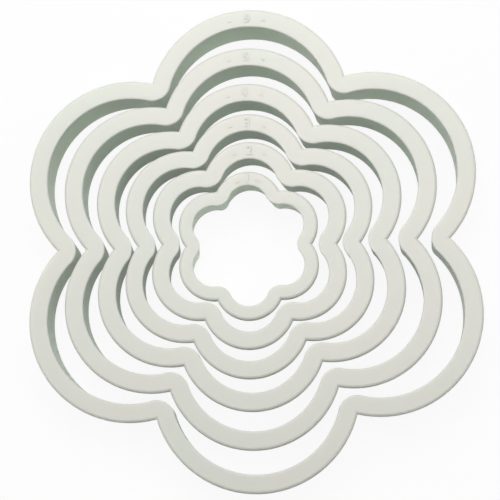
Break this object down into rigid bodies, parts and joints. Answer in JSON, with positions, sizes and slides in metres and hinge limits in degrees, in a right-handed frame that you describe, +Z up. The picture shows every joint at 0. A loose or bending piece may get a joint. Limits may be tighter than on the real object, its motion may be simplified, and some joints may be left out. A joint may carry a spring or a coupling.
{
  "type": "nested flower cutter set",
  "caption": "Nest of round-petalled flower cutters in pale plastic, each a flat rim over a thin cutting blade, laid one inside another with the rims up.",
  "frame": {"origin": "centre of the largest cutter, on the plane of the cutting edges that the whole nest stands on", "axes": "+Z up through the nest towards the rims' flat tops, +Y from the centre through a petal's tip of the largest cutter, +X through one of its notches"},
  "size_m": [0.1066, 0.1156, 0.0135],
  "materials": {
    "plastic": "satin, slightly translucent pale grey-green plastic"
  },
  "bodies": {
    "largest_body": {"largest_cutter": "plastic"},
    "fifth_body": {"fifth_cutter": "plastic"},
    "fourth_body": {"fourth_cutter": "plastic"},
    "third_body": {"third_cutter": "plastic"},
    "second_body": {"second_cutter": "plastic"},
    "smallest_body": {"smallest_cutter": "plastic"}
  },
  "joints": [
    {"name": "fifth_lifts_out", "type": "slide", "parent": "largest_body", "child": "fifth_body", "axis": [0, 0, 1], "range_m": [0, 0.03]},
    {"name": "fourth_lifts_out", "type": "slide", "parent": "largest_body", "child": "fourth_body", "axis": [0, 0, 1], "range_m": [0, 0.03]},
    {"name": "third_lifts_out", "type": "slide", "parent": "largest_body", "child": "third_body", "axis": [0, 0, 1], "range_m": [0, 0.03]},
    {"name": "second_lifts_out", "type": "slide", "parent": "largest_body", "child": "second_body", "axis": [0, 0, 1], "range_m": [0, 0.03]},
    {"name": "smallest_lifts_out", "type": "slide", "parent": "largest_body", "child": "smallest_body", "axis": [0, 0, 1], "range_m": [0, 0.03]}
  ]
}
